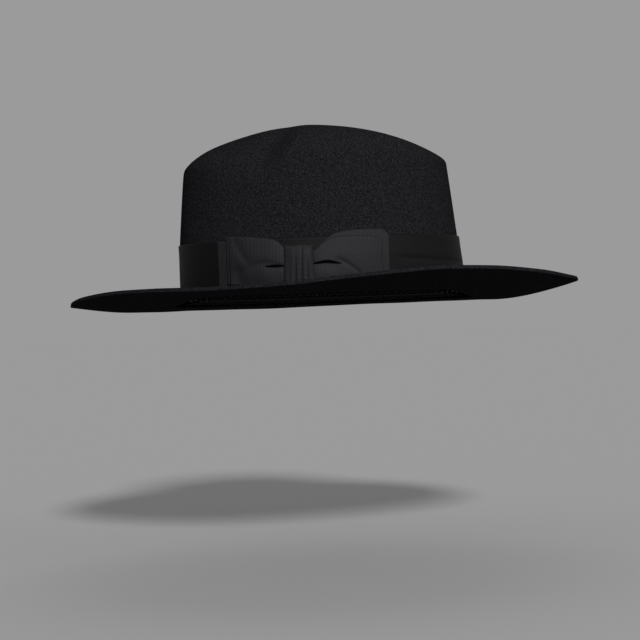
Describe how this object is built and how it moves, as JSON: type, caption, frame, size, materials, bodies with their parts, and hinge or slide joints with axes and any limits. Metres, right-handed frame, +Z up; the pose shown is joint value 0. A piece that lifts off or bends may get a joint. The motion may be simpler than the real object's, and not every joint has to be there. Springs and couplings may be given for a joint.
{
  "type": "wide-brimmed felt hat",
  "caption": "Creased-crown felt hat with a wide raw-edged brim, a grosgrain ribbon band and a flat side bow, with its sweatband and lining inside.",
  "frame": {"origin": "under the middle of the brim, on the surface that the hat rests on", "axes": "+Z up through the crown, -Y to the front of the hat, +X to the wearer's left, the side with the bow"},
  "size_m": [0.334, 0.3742, 0.1302],
  "materials": {
    "fur_felt": "black fur felt, short nap",
    "grosgrain": "black ribbed ribbon, soft sheen",
    "sweatband_leather": "black roan leather, satin",
    "reed_plastic": "black reed",
    "tape_cotton": "black cotton tape",
    "thread": "black polyester thread",
    "lining_satin": "black satin"
  },
  "bodies": {
    "root": {"felt_body": "fur_felt", "ribbon_band": "grosgrain", "bow_tail": "grosgrain", "bow_front_loop": "grosgrain", "bow_rear_loop": "grosgrain", "bow_knot": "grosgrain", "sweatband": "sweatband_leather", "sweatband_reed": "reed_plastic", "reed_tape": "tape_cotton", "sweatband_bow": "grosgrain", "sweatband_stitches": "thread", "lining_side": "lining_satin", "lining_tip": "lining_satin"}
  },
  "joints": []
}
